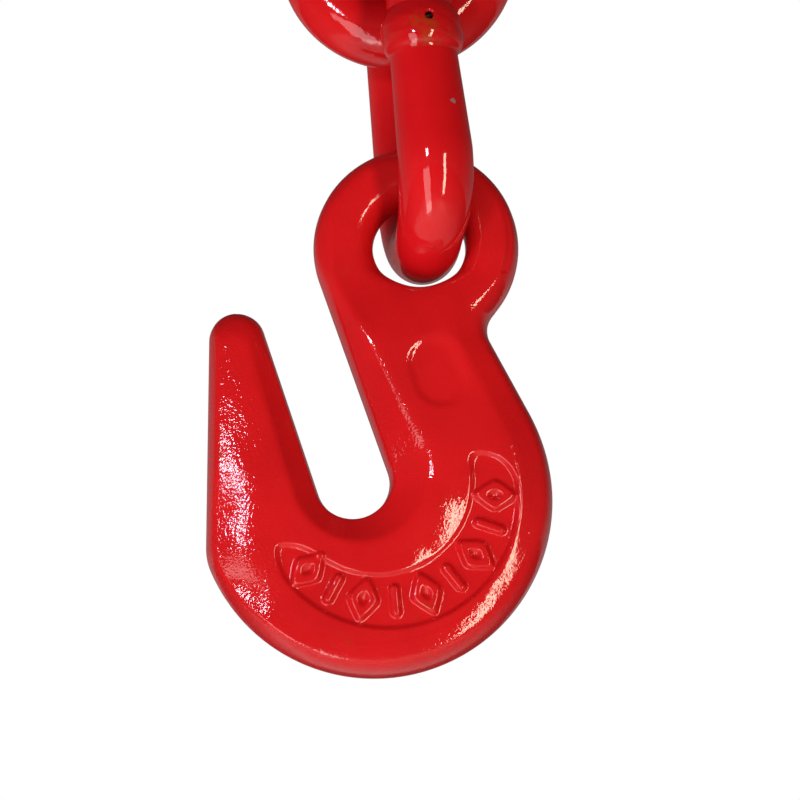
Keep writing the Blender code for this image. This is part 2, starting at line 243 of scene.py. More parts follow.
wound = add(tree, "GeometryNodeSetPosition", {"Geometry": blank.outputs[0],
                                              "Position": where.outputs[0]})
close_tree(tree, wound.outputs[0], eye_enamel)
thread_length = THREAD_FOOT - COLLAR_TOP_Z
thread_seed = shown("thread_seed", bpy.data.meshes.new("thread_seed"))
thread_mesh = grown(thread_seed, tree, {"Radius": THREAD_OUTER, "Length": thread_length,
                                        "Pitch": THREAD_PITCH, "Depth": THREAD_DEPTH,
                                        "Chamfer": THREAD_CHAMFER})
thread_mesh.transform(Matrix.Translation((0.0, 0.0, -thread_length / 2.0)))


def ring_gap(points):
    """Distance of points from the ring's surface."""
    across = np.hypot(points[:, 0], points[:, 2] - RING_CENTRE.z) - RING_PATH
    return np.hypot(across, points[:, 1]) - RING_BAR


def collar_gap(points):
    """Distance of points from the collar, a short post that narrows towards the ring."""
    across = np.hypot(points[:, 0], points[:, 1])
    taper = np.clip((COLLAR_FOOT_Z + WAIST_RISE - points[:, 2]) / WAIST_RUN, 0.0, 1.0)
    sideways = across - (COLLAR - taper * taper * COLLAR_WAIST) + COLLAR_BEVEL
    upwards = points[:, 2] - COLLAR_TOP_Z + COLLAR_BEVEL
    downwards = COLLAR_FOOT_Z - COLLAR_SUNK - points[:, 2] + COLLAR_BEVEL
    ends = np.maximum(upwards, downwards)
    outside = np.hypot(np.maximum(sideways, 0.0), np.maximum(ends, 0.0))
    return outside + np.minimum(np.maximum(sideways, ends), 0.0) - COLLAR_BEVEL


def forged_gap(points):
    """Distance from ring and collar together, with a forged fillet where they join."""
    ring, collar = ring_gap(points), collar_gap(points)
    mix = np.clip(0.5 + 0.5 * (collar - ring) / RING_BLEND, 0.0, 1.0)
    return collar * (1.0 - mix) + ring * mix - RING_BLEND * mix * (1.0 - mix)


def settled(points, gap, rounds=6, probe=0.01 * MM):
    """Move points onto the surface where their gap is nought."""
    for _ in range(rounds):
        here = gap(points)
        slopes = np.stack([(gap(points + step) - here) / probe for step in np.eye(3) * probe], axis=1)
        steep = np.maximum((slopes * slopes).sum(axis=1), 0.05)
        points = points - slopes * (here / steep)[:, None]
    return points


def mesh_points(mesh):
    flat = np.empty(len(mesh.vertices) * 3)
    mesh.vertices.foreach_get("co", flat)
    return flat.reshape(-1, 3)


work = bmesh.new()
work.from_mesh(ring_mesh)
post_length = COLLAR_TOP_Z - COLLAR_FOOT_Z + COLLAR_SUNK
bmesh.ops.create_cone(work, cap_ends=True, segments=64, radius1=COLLAR - 3 * MM,
                      radius2=COLLAR - 1 * MM, depth=post_length,
                      matrix=Matrix.Translation((0.0, 0.0, COLLAR_TOP_Z - post_length / 2.0)))
work.to_mesh(ring_mesh)
work.free()
forging = shown("eye_forging", ring_mesh)
skin = forging.modifiers.new("one skin", "REMESH")
skin.mode = "VOXEL"
skin.voxel_size = FORGING_GRAIN
view = bpy.context.evaluated_depsgraph_get()
skin_mesh = bpy.data.meshes.new_from_object(forging.evaluated_get(view))
bpy.data.objects.remove(forging)
skin_mesh.vertices.foreach_set("co", settled(mesh_points(skin_mesh), forged_gap).ravel())
skin_mesh.update()

stem = shown("eye_stem", thread_mesh)
eye = shown("forged_eye_screw", skin_mesh)
eye.data.materials.clear()
eye.data.materials.append(eye_enamel)
weld_on = eye.modifiers.new("stem", "BOOLEAN")
weld_on.operation = "UNION"
weld_on.object = stem
view = bpy.context.evaluated_depsgraph_get()
eye_mesh = bpy.data.meshes.new_from_object(eye.evaluated_get(view))
bpy.data.objects.remove(eye)
bpy.data.objects.remove(stem)
eye = shown("forged_eye_screw", eye_mesh)
eye_mesh.materials.clear()
eye_mesh.materials.append(eye_enamel)
eye_mesh.set_sharp_from_angle(angle=math.radians(50.0))
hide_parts("eye_screw")
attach(eye, "screw")

# ---- Coupling link ----------------------------------------------------------------
# One length of 12.7 mm carbon steel bar, bent hot to an oval round the eyes of the
# screw and the hook.  Its ends meet on the near leg, where they are butt welded.

joints = {joint["name"]: joint for joint in frame["joints"]}
LINK_HINGE = Vector(joints["link_swing"]["pos_m"])
HOOK_HINGE = Vector(joints["hook_swing"]["pos_m"])
LINK_LEAN = math.radians(-4.2)
LINK_YAW = math.radians(8.0)
BAR = 6.35 * MM
BEND = 14.85 * MM
LINK_TOP = 14.15 * MM
PITCH_LENGTH = 58.05 * MM
WELD_LENGTH = 8.6 * MM
WELD_RISE = 9.0 * MM
BAR_STEP = 0.6 * MM
BAR_SWELL = 0.7 * MM
EYE_SIDE = 5.0 * MM
CHIP_TURN = math.radians(30.0)
CHIP_DROP = 15.8 * MM

LINK_TURN = Matrix.Translation(LINK_HINGE) @ (
    Matrix.Rotation(LINK_LEAN, 4, "Y") @ Matrix.Rotation(LINK_YAW, 4, "Z"))
BEND_TOP = LINK_TOP - BEND
BEND_BOTTOM = BEND_TOP - (PITCH_LENGTH - 2.0 * BEND)
WELD_Z = (BEND_TOP + BEND_BOTTOM) / 2.0 + WELD_RISE


def oval_path():
    """Centre line of the bar from the top of the weld, over both bends, to its underside."""
    places = [Vector((0.0, -BEND, WELD_Z + WELD_LENGTH / 2.0))]
    for middle_z, rising in ((BEND_TOP, 1.0), (BEND_BOTTOM, -1.0)):
        count = round(math.pi * BEND / BAR_STEP)
        for step in range(count + 1):
            turn = math.pi * step / count
            places.append(Vector((0.0, -rising * BEND * math.cos(turn),
                                  middle_z + rising * BEND * math.sin(turn))))
    places.append(Vector((0.0, -BEND, WELD_Z - WELD_LENGTH / 2.0)))
    return places


# Enamel on drawn bar: smooth steel, so the peel is long and shallow and the gloss clear.
# One chip below the weld is down to the steel.
weld_foot_z = WELD_Z - WELD_LENGTH / 2.0
chip_swell = BAR_SWELL * (weld_foot_z - WELD_Z + CHIP_DROP) / (weld_foot_z - BEND_BOTTOM)
chip = LINK_TURN @ Vector((chip_swell + (BAR + chip_swell) * math.sin(CHIP_TURN),
                           -BEND - (BAR + chip_swell) * math.cos(CHIP_TURN), WELD_Z - CHIP_DROP))
bar_enamel = enamel("dipped_enamel_on_drawn_bar", "#D2181D", "#7E3014", 0.022 * MM,
                    {"deep": "#C21017", "thin_from": 0.68, "grain": 0.15, "left_grain": 1.0, "rough": 0.04,
                     "spot": (chip, 0.5 * MM, "#8C7B78")})

# The near leg is upset where it was bent: the bar swells to one side down to the bottom bend,
# but keeps its round section where it passes through the hook's eye.
tree, size = new_tree("bent bar", ("Bar radius", "Step", "Swell", "Swell from", "Swell to", "Bend",
                                   "Eye side"))
even = add(tree, "GeometryNodeResampleCurve", {"Curve": size["Geometry"], "Length": size["Step"]},
           mode="LENGTH")
spot = add(tree, "ShaderNodeSeparateXYZ", {0: add(tree, "GeometryNodeInputPosition").outputs[0]})
down = add(tree, "ShaderNodeMapRange", {0: spot.outputs[2], 1: size["Swell from"], 2: size["Swell to"]})
far = add(tree, "ShaderNodeMath", {0: 0.0, 1: size["Bend"]}, operation="SUBTRACT")
near = add(tree, "ShaderNodeMapRange", {0: spot.outputs[1], 1: size["Eye side"], 2: far.outputs[0]},
           interpolation_type="SMOOTHSTEP")
both = add(tree, "ShaderNodeMath", {0: down.outputs[0], 1: near.outputs[0]}, operation="MULTIPLY")
swell = add(tree, "ShaderNodeMath", {0: both.outputs[0], 1: size["Swell"]}, operation="MULTIPLY")
share = add(tree, "ShaderNodeMath", {0: swell.outputs[0], 1: size["Bar radius"]}, operation="DIVIDE")
radius = add(tree, "ShaderNodeMath", {0: share.outputs[0], 1: 1.0}, operation="ADD")
aside = add(tree, "ShaderNodeCombineXYZ", {0: swell.outputs[0]})
moved = add(tree, "GeometryNodeSetPosition", {"Geometry": even.outputs[0], "Offset": aside.outputs[0]})
profile = add(tree, "GeometryNodeCurvePrimitiveCircle", {"Resolution": 72, "Radius": size["Bar radius"]})
sweep = add(tree, "GeometryNodeCurveToMesh", {"Curve": moved.outputs[0], "Fill Caps": True,
                                              "Profile Curve": profile.outputs[0],
                                              "Scale": radius.outputs[0]})
close_tree(tree, sweep.outputs[0], bar_enamel)
route = bpy.data.curves.new("bar_route", "CURVE")
route.dimensions = "3D"
spline = route.splines.new("POLY")
places = oval_path()
spline.points.add(len(places) - 1)
for point, place in zip(spline.points, places):
    point.co = (*place, 1.0)
bar_seed = bpy.data.objects.new("bar_seed", route)
bpy.context.scene.collection.objects.link(bar_seed)
link_mesh = grown(bar_seed, tree, {"Bar radius": BAR, "Step": BAR_STEP, "Swell": BAR_SWELL, "Bend": BEND,
                                   "Eye side": -EYE_SIDE,
                                   "Swell from": weld_foot_z, "Swell to": BEND_BOTTOM})
link_mesh.transform(LINK_TURN)
link = shown("bent_bar_link", link_mesh)
link_mesh.set_sharp_from_angle(angle=math.radians(50.0))
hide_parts("coupling_link")
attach(link, "link")

# ---- Closing weld -----------------------------------------------------------------
# Flash butt weld: the hot ends were pushed together, which left a domed collar round
# the bar with an abrupt lower lip and one pinhole, painted over without grinding.

WELD_OUTER = 7.75 * MM
WELD_PROFILE = ((-5.3, 6.33), (-5.0, 6.38), (-4.6, 6.52), (-4.2, 6.8), (-3.8, 7.12), (-3.3, 7.4),
                (-2.6, 7.6), (-1.6, 7.72), (-0.5, 7.76), (0.6, 7.7), (1.7, 7.5), (2.7, 7.15), (3.6, 6.75),
                (4.1, 6.5), (4.3, 6.4))
# Lumps round the collar: height in millimetres, waves round it, twist per millimetre of rise.
WELD_LUMPS = ((0.10, 2.0, 0.7), (0.05, 5.0, -1.0), (0.03, 9.0, 2.1))
WELD_SIDES = 200
WELD_STEP = 0.22
PINHOLE_TURN = math.radians(-87.0)
PINHOLE_RISE = 0.7
PINHOLE_RADIUS = 0.75
PINHOLE_DEPTH = 1.6
PINHOLE_FLOOR = WELD_OUTER - 1.1 * MM


def weld_radius(rise, turn):
    """Radius of the collar in millimetres, with slow lumps and the pinhole."""
    rises, radii = zip(*WELD_PROFILE)
    radius = float(np.interp(rise, rises, radii))
    swell = max(math.cos(math.pi * rise * MM / WELD_LENGTH), 0.0)
    radius += swell * sum(height * math.sin(waves * turn + twist * rise)
                          for height, waves, twist in WELD_LUMPS)
    around = (turn - PINHOLE_TURN) * radius
    hole = math.hypot(around, rise - PINHOLE_RISE) / PINHOLE_RADIUS
    return min(radius, WELD_OUTER / MM) - PINHOLE_DEPTH * math.exp(-hole ** 4)


work = bmesh.new()
rings = []
weld_foot, weld_head = WELD_PROFILE[0][0], WELD_PROFILE[-1][0]
for rise in np.linspace(weld_foot, weld_head, round((weld_head - weld_foot) / WELD_STEP)):
    ring = []
    for side in range(WELD_SIDES):
        turn = math.tau * side / WELD_SIDES - math.pi
        radius = weld_radius(rise, turn) * MM
        ring.append(work.verts.new((radius * math.cos(turn), radius * math.sin(turn), rise * MM)))
    rings.append(ring)
for lower, upper in zip(rings, rings[1:]):
    for side in range(WELD_SIDES):
        after = (side + 1) % WELD_SIDES
        work.faces.new((lower[side], lower[after], upper[after], upper[side]))
work.faces.new(rings[0][::-1])
work.faces.new(rings[-1])
weld_mesh = bpy.data.meshes.new("weld_collar")
work.to_mesh(weld_mesh)
work.free()
weld_mesh.transform(LINK_TURN @ Matrix.Translation((0.0, -BEND, WELD_Z)))
weld = shown("weld_collar", weld_mesh)
weld_mesh.set_sharp_from_angle(angle=math.radians(60.0))
# Enamel over weld metal: the film sinks into the seam, so more brown shows and the gloss is lumpier.
# The near-black spot on the pinhole's floor is painted shade: it stands in for the dark inside of the hole.
pinhole = LINK_TURN @ Vector((PINHOLE_FLOOR * math.cos(PINHOLE_TURN),
                              -BEND + PINHOLE_FLOOR * math.sin(PINHOLE_TURN), WELD_Z + PINHOLE_RISE * MM))
weld_mesh.materials.append(enamel("dipped_enamel_on_weld", "#CA181C", "#7A4A12", 0.034 * MM,
                                  {"deep": "#B40E14", "thin_from": 0.54, "grain": 0.35, "left_grain": 1.0,
                                   "rough": 0.05, "spot": (pinhole, 0.85 * MM, "#100202")}))
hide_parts("closing_weld")
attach(weld, "link")

# ---- Grab hook --------------------------------------------------------------------
# One drop forging of carbon steel: two dies meet on the parting line round its edge.
# The slot's sides flare up to a soft ridge, a shallow pad along the bowl carries raised
# marks, and the whole hook is dipped in gloss red enamel that rounds every edge.

# Outline circles (x, z, radius) in millimetres from the bowl's centre; a negative
# radius is a hollow one.  The outline runs round them like a belt, clockwise.
BORE = (8.4, 48.65, 8.9)
BAR_IN_BORE = 1.2
TIP = (-26.1, 30.3, 5.3)
SLOT_END = (-4.0, 2.9, -6.8)
EYE = (7.8, 48.65, 19.6)
NECK = (26.3, 32.3, -5.0)
BOWL = (0.0, 0.0, 33.2)
SHOULDER = 35.2
SHOULDER_BEARING = math.radians(7.1)
HEEL = 11.0
HEEL_BEARING = math.radians(204.2)
RIDGE = ((-25.1, 31.9, 0.0), (-2.4, 4.1, -13.4), (7.8, 48.65, 17.3))

# Section sizes in millimetres.  A pair of numbers is where a smooth change begins and ends.
BODY_HALF = 8.3
EYE_HALF = 6.5
EYE_FROM_Z = (28.0, 44.0)
PARTING_HALF = 0.9
RIM_HALF = 0.65
RIM_REACH = 0.02
FLASH = 0.14
# The arm left of the slot thins towards its tip.
ARM_TAPER = 1.9
ARM_FOOT_Z = 4.0
ARM_RUN = 32.0
ARM_SWEEP = 1.3
ARM_SIDE = (8.0, 12.0)
# The right side of the body is bevelled, more steeply above the bowl's middle.
BODY_ROUND = 5.4
ROUND_PAST = 0.3
BEVEL_WIDTH = 7.2
BEVEL_SLOPE = 0.27
BEVEL_STEEPER = 0.12
BEVEL_STEEPER_Z = (-14.0, 0.0)
EYE_ROUND = 3.2
# The left side and the arm have a narrow rounded band, and a crowned face low down.
BAND_WIDTH = 2.5
BAND_SWEEP = 0.6
BAND_SIDE = (9.0, 19.0)
BAND_END_Z = (29.0, 35.0)
CROWN_WIDTH = 11.5
CROWN_DROP = 2.2
CROWN_SWEEP = 1.35
CROWN_SIDE = (13.0, 21.0)
CROWN_FROM_Z = (-27.0, -15.0)
CROWN_UPPER_SHARE = 0.62
CROWN_FALL_Z = (-5.0, 7.0)
# The bore is rounded off at its crown to let the link's bend swing; its sill is fuller.
BORE_WALL_HALF = 1.4
BORE_ROUND = 4.3
SILL_WALL_HALF = 5.2
SILL_ROUND = 3.4
SILL_SHARE = (0.5, 1.0)
# The slot's sides flare from its wall to the ridge.  Its corner is sharp, but soft on the shank.
SLOT_WALL_HALF = 4.5
SLOT_ROUND = 5.0
SLOT_CORNER = 0.4
SHANK_CORNER = 1.3
SHANK_LEAN = 1.0 / 3.0
SHANK_SIDE = (0.0, 6.0)
SHANK_Z = (-3.0, 5.0)
FLARE_SWEEP = 1.12
FLARE_REACH = 1.7
FLARE_LEAST = 0.5
FLARE_END = 6.0
ARM_FLARE_WIDTH = 12.0
ARM_FLARE_END_Z = (23.0, 34.0)
SHANK_FLARE_END_Z = (48.0, 66.0)
# Widths over which two surfaces melt into one another.
FACE_BLEND = 0.5
BODY_BLEND = 0.8
SIDE_BLEND = 0.6
BORE_BLEND = 0.7
FLARE_BLEND = 0.7
PAD_OUTER = (2.5, -0.8, 24.4)
PAD_INNER = (0.6, 2.4, 16.9)
PAD_LEFT_X = -18.6
PAD_LEFT_Z = -9.0
PAD_TOP_Z = 8.2
PAD_END = (0.55, 0.83, 18.9)
PAD_DEPTH = 0.8
PAD_FILLET = 1.1
PAD_CORNER = 2.0
PAD_TIP = 3.0
PAD_SHOALS = 0.45
LAND_WIDTH = 5.2
LAND_DROP = 0.9
LAND_SWEEP = 1.4
LAND_FIRST = (-78.0, -50.0)
LAND_LAST = (-18.0, 4.0)
OVAL = (11.7, 22.9)
OVAL_TILT = math.radians(19.0)
OVAL_REACH = 1.8
OVAL_RADIUS = 4.6
OVAL_DEPTH = 0.45
OVAL_FILLET = 1.5
OVAL_SPREAD = 1.4
OVAL_SPREAD_SIDE = (-1.0, 3.0)
MARK_CIRCLE = (2.0, 0.4, 20.2)
MARK_COUNT = 9
MARK_FIRST = math.radians(226.0)
MARK_LAST = math.radians(358.0)
MARK_HEIGHT = 0.95
MARK_STROKE = 0.8
MARK_FILLET = 0.45
BAR_REACH = 2.1
LOZENGE_REACH = (2.5, 1.75)
LOZENGE_CORNER = 0.3
LOZENGE_SIZE = 1.3

# Mesh spacing in millimetres.
RIM_STEP = 0.42
COARSE_STEP = 0.55
FINE_STEP = 0.27
RIM_DEPTHS = (0.07, 0.15, 0.25, 0.38, 0.55, 0.76, 1.0, 1.3, 1.65, 2.05, 2.5, 3.0, 3.5, 4.1, 4.8)
BORE_DEPTHS = (0.08, 0.2, 0.36, 0.56, 0.8, 1.1, 1.45, 1.85, 2.3, 2.8, 3.3, 3.8, 4.3)
RIDGE_OFFSETS = (-0.9, -0.55, -0.25, 0.0, 0.25, 0.55, 0.9)
RIDGE_TOP_Z = 52.0
GRID_X = (-34.0, 36.0)
GRID_Z = (-34.0, 69.0)
# Least area-centre depth of a triangle that counts as metal; slivers on a straight rim fall short.
SLIVER = 0.005


def touching_bowl(radius, bearing):
    reach = BOWL[2] - radius
    return reach * math.cos(bearing), reach * math.sin(bearing), radius


OUTLINE = (TIP, SLOT_END, EYE, NECK, touching_bowl(SHOULDER, SHOULDER_BEARING), BOWL,
           touching_bowl(HEEL, HEEL_BEARING))


def straight(first, second, offset):
    """Ends of the straight run between two circles of a belt moved inwards by offset."""
    start, end = np.array(first[:2]), np.array(second[:2])
    start_radius, end_radius = first[2] - offset, second[2] - offset
    length = np.linalg.norm(end - start)
    along = (end - start) / length
    left = np.array((-along[1], along[0]))
    lean = (end_radius - start_radius) / length
    right = lean * along - math.sqrt(max(1.0 - lean * lean, 0.0)) * left
    return start - start_radius * right, end - end_radius * right


def chain(circles, offset=0.0, closed=False, start=None, end=None):
    """Arcs and straight runs of a belt: (centre, radius, first angle, sweep) and (from, to)."""
    parts = []
    last = len(circles) - 1
    for index, circle in enumerate(circles):
        enter = start if start is not None and index == 0 else None
        leave = end if end is not None and index == last else None
        if enter is None:
            enter = straight(circles[index - 1], circle, offset)[1]
        if leave is None:
            leave = straight(circle, circles[(index + 1) % len(circles)], offset)[0]
        centre = np.array(circle[:2])
        enter, leave = np.array(enter), np.array(leave)
        begin = math.atan2(*(enter - centre)[::-1])
        sweep = (begin - math.atan2(*(leave - centre)[::-1])) % math.tau
        if circle[2] < 0.0:
            sweep -= math.tau
        if abs(circle[2] - offset) > 1e-6:
            parts.append((centre, abs(circle[2] - offset), begin, sweep))
        if closed or index < last:
            parts.append(straight(circle, circles[(index + 1) % len(circles)], offset))
    return parts


def chain_points(parts, spacing):
    """Even points along a chain."""
    points = []
    for part in parts:
        if len(part) == 2:
            begin, finish = part
            count = max(1, round(np.linalg.norm(finish - begin) / spacing))
            points.extend(begin + (finish - begin) * step / count for step in range(count))
        else:
            centre, radius, first, sweep = part
            count = max(1, round(abs(sweep) * radius / spacing))
            turns = [first - sweep * step / count for step in range(count)]
            points.extend(centre + radius * np.array((math.cos(turn), math.sin(turn)))
                          for turn in turns)
    return points


def chain_gap(points, parts):
    """Signed distance to a chain, positive on the right of its run, where the metal is."""
    best = np.full(len(points), 1e9)
    signed = np.zeros(len(points))
    for part in parts:
        if len(part) == 2:
            begin, finish = part
            run = finish - begin
            length = max(np.linalg.norm(run), 1e-9)
            share = np.clip((points - begin) @ run / length ** 2, 0.0, 1.0)
            away = np.linalg.norm(points - begin - share[:, None] * run, axis=1)
            side = (points - begin) @ np.array((run[1], -run[0])) / length
        else:
            centre, radius, first, sweep = part
            offset = points - centre
            reach = np.linalg.norm(offset, axis=1)
            turned = (first - np.arctan2(offset[:, 1], offset[:, 0])) % math.tau
            if sweep < 0.0:
                turned = math.tau - turned
            on_arc = turned <= abs(sweep) + 1e-9
            ends = [centre + radius * np.array((math.cos(turn), math.sin(turn)))
                    for turn in (first, first - sweep)]
            to_ends = np.minimum(*(np.linalg.norm(points - end, axis=1) for end in ends))
            away = np.where(on_arc, abs(reach - radius), to_ends)
            side = (radius - reach) * math.copysign(1.0, sweep)
        nearer = away < best
        best = np.where(nearer, away, best)
        signed = np.where(nearer, np.where(side < 0.0, -away, away), signed)
    return signed


def ramp(value, low, high):
    """Smooth rise from 0 at low to 1 at high."""
    share = np.clip((value - low) / (high - low), 0.0, 1.0)
    return share * share * (3.0 - 2.0 * share)


def soft_min(first, second, width):
    """Smaller of two heights, rounded over this width where they cross."""
    mix = np.clip(0.5 + 0.5 * (second - first) / width, 0.0, 1.0)
    return second * (1.0 - mix) + first * mix - width * mix * (1.0 - mix)


def quarter_round(gap, width, low, high):
    """Rounded side that climbs from low to high over this width."""
    short = 1.0 - np.clip(gap / width, 0.0, 1.0)
    return low + (high - low) * np.sqrt(1.0 - short * short)


def top_of(circle):
    return circle[0], circle[1] + circle[2]


edge_chain = chain(OUTLINE, closed=True)
slot_chain = chain(OUTLINE[:3], start=top_of(TIP), end=top_of(EYE))
outer_chain = chain((*OUTLINE[2:], TIP), start=top_of(EYE), end=top_of(TIP))
ridge_chain = chain(RIDGE, start=top_of(RIDGE[0]), end=top_of(RIDGE[2]))


def flat_half(across, up):
    """Half thickness of the faces away from every edge."""
    flat = BODY_HALF + (EYE_HALF - BODY_HALF) * ramp(up, *EYE_FROM_Z)
    along_arm = np.clip((up - ARM_FOOT_Z) / ARM_RUN, 0.0, 1.0) ** ARM_SWEEP
    return flat - ARM_TAPER * along_arm * ramp(-across, *ARM_SIDE)


def outer_side(across, up, gap, flat):
    """Side towards the outline: rounded and bevelled on the body, a band on the left and the arm."""
    steep = BEVEL_SLOPE + BEVEL_STEEPER * ramp(up, *BEVEL_STEEPER_Z)
    bevel = soft_min(flat - steep * (BEVEL_WIDTH - gap), flat, FACE_BLEND)
    round_side = quarter_round(gap - FLASH, BODY_ROUND, PARTING_HALF, flat + ROUND_PAST)
    body_side = soft_min(round_side, bevel, BODY_BLEND)
    eye_side = quarter_round(gap - FLASH, EYE_ROUND, PARTING_HALF, flat)
    soft_side = body_side + (eye_side - body_side) * ramp(up, *EYE_FROM_Z)
    climb = np.clip((gap - FLASH) / BAND_WIDTH, 0.0, 3.0) ** BAND_SWEEP
    low_arm = 1.0 - (1.0 - CROWN_UPPER_SHARE) * ramp(up, *CROWN_FALL_Z)
    low_arm = low_arm * ramp(-across, *CROWN_SIDE) * ramp(up, *CROWN_FROM_Z)
    crown = CROWN_DROP * low_arm * (1.0 - np.clip(gap / CROWN_WIDTH, 0.0, 1.0)) ** CROWN_SWEEP
    band_side = soft_min(PARTING_HALF + (flat - PARTING_HALF) * climb, flat - crown, FACE_BLEND)
    crisp = ramp(-across, *BAND_SIDE) * (1.0 - ramp(up, *BAND_END_Z))
    return soft_side + (band_side - soft_side) * crisp


def slot_side(across, up, gap, past_ridge, flat):
    """Side towards the slot: a wall, then the flare up to the ridge."""
    reach = np.maximum(gap - past_ridge, FLARE_LEAST)
    share = np.clip(gap / reach, 0.0, FLARE_REACH)
    slope = SLOT_WALL_HALF + (flat - SLOT_WALL_HALF) * share ** FLARE_SWEEP
    from_end = across - SLOT_END[0] + (up - SLOT_END[1]) * SHANK_LEAN
    on_shank = ramp(from_end, *SHANK_SIDE) * ramp(up, *SHANK_Z)
    corner = SLOT_CORNER + (SHANK_CORNER - SLOT_CORNER) * on_shank
    wall = quarter_round(gap - FLASH, corner, PARTING_HALF, 1.0)
    slope = PARTING_HALF + (slope - PARTING_HALF) * (wall - PARTING_HALF) / (1.0 - PARTING_HALF)
    flare_side = soft_min(slope, flat, FLARE_BLEND * (1.0 + on_shank))
    flare_side = np.where(past_ridge > FLARE_END, flat, flare_side)
    plain_side = quarter_round(gap - FLASH, SLOT_ROUND, PARTING_HALF, flat)
    left = across < SLOT_END[0] - ARM_FLARE_WIDTH
    fade = np.where(left, ramp(up, *ARM_FLARE_END_Z), ramp(up, *SHANK_FLARE_END_Z))
    return flare_side + (plain_side - flare_side) * fade


def bore_side(across, up, flat):
    """Side towards the bore: well rounded at the crown, fuller at the sill."""
    gap = np.hypot(across - BORE[0], up - BORE[1]) - BORE[2]
    sill = ramp((BORE[1] - up) / BORE[2], *SILL_SHARE)
    wall_half = BORE_WALL_HALF + (SILL_WALL_HALF - BORE_WALL_HALF) * sill
    return quarter_round(gap, BORE_ROUND + (SILL_ROUND - BORE_ROUND) * sill, wall_half, flat)


def forged_half(points):
    """Half thickness of the plain forging, the least of its three rounded sides."""
    across, up = points[:, 0], points[:, 1]
    from_outer = abs(chain_gap(points, outer_chain))
    from_slot = abs(chain_gap(points, slot_chain))
    past_ridge = chain_gap(points, ridge_chain)
    flat = flat_half(across, up)
    sides = soft_min(slot_side(across, up, from_slot, past_ridge, flat),
                     outer_side(across, up, from_outer, flat), SIDE_BLEND)
    half = soft_min(sides, bore_side(across, up, flat), BORE_BLEND)
    on_rim = np.minimum(from_outer, from_slot) < RIM_REACH
    return np.where(on_rim, RIM_HALF, np.maximum(half, PARTING_HALF))


def pad_sink(points):
    """Depth of the crescent pad, of the land that slopes down to it, and of the oval above."""
    across, up = points[:, 0], points[:, 1]
    outer = PAD_OUTER[2] - np.hypot(across - PAD_OUTER[0], up - PAD_OUTER[1])
    inner = np.hypot(across - PAD_INNER[0], up - PAD_INNER[1]) - PAD_INNER[2]
    bearing = np.degrees(np.arctan2(up - PAD_INNER[1], across - PAD_INNER[0]))
    lean = ramp(bearing, *LAND_FIRST) * (1.0 - ramp(bearing, *LAND_LAST))
    fall = np.clip((inner + LAND_WIDTH) / LAND_WIDTH, 0.0, 1.0) ** LAND_SWEEP
    land = LAND_DROP * lean * fall * ramp(outer, 0.0, PAD_FILLET)
    top = np.where(across < 0.0, PAD_LEFT_Z, PAD_TOP_Z) - up
    slant = PAD_END[2] - PAD_END[0] * across - PAD_END[1] * up
    ends = soft_min(soft_min(across - PAD_LEFT_X, top, PAD_CORNER), slant, PAD_CORNER)
    inside = soft_min(soft_min(outer, inner, 1.0), ends, PAD_TIP)
    pad = PAD_DEPTH * (1.0 - PAD_SHOALS * lean) * ramp(inside, 0.0, PAD_FILLET)
    x, z = across - OVAL[0], up - OVAL[1]
    along = -x * math.sin(OVAL_TILT) + z * math.cos(OVAL_TILT)
    beside = x * math.cos(OVAL_TILT) + z * math.sin(OVAL_TILT)
    past = np.hypot(beside, np.maximum(abs(along) - OVAL_REACH, 0.0)) - OVAL_RADIUS
    fillet = OVAL_FILLET * (1.0 + OVAL_SPREAD * ramp(beside, *OVAL_SPREAD_SIDE))
    return pad + land + OVAL_DEPTH * ramp(-past / fillet, -0.5, 0.5)


def mark_rise(points):
    """Raised marks along the pad: hollow lozenges and short bars by turns."""
    height = np.zeros(len(points))
    tall, wide = LOZENGE_REACH
    for index in range(MARK_COUNT):
        turn = MARK_FIRST + (MARK_LAST - MARK_FIRST) * index / (MARK_COUNT - 1)
        out = np.array((math.cos(turn), math.sin(turn)))
        offset = points - np.array(MARK_CIRCLE[:2]) - out * MARK_CIRCLE[2]
        along, beside = offset @ out, offset @ np.array((-out[1], out[0]))
        if index % 2:
            past = np.hypot(beside, np.maximum(abs(along) - BAR_REACH, 0.0))
        else:
            sides = np.hypot(along / tall, LOZENGE_CORNER) + np.hypot(beside / wide, LOZENGE_CORNER)
            past = abs(sides - LOZENGE_SIZE) * wide * tall / math.hypot(wide, tall)
        height = np.maximum(height, ramp(MARK_STROKE - past, -MARK_FILLET, MARK_FILLET))
    return MARK_HEIGHT * height


def die_waviness(points, seed):
    """Slow unevenness that the dies and the scale leave, a few hundredths of a millimetre."""
    draw = np.random.default_rng(seed)
    height = np.zeros(len(points))
    for length in (4.5, 6.0, 8.0, 11.0, 15.0):
        turn, shift = draw.uniform(0.0, math.tau, 2)
        wave = (points[:, 0] * math.cos(turn) + points[:, 1] * math.sin(turn)) * math.tau / length
        height += 0.0016 * length * np.sin(wave + shift)
    return height


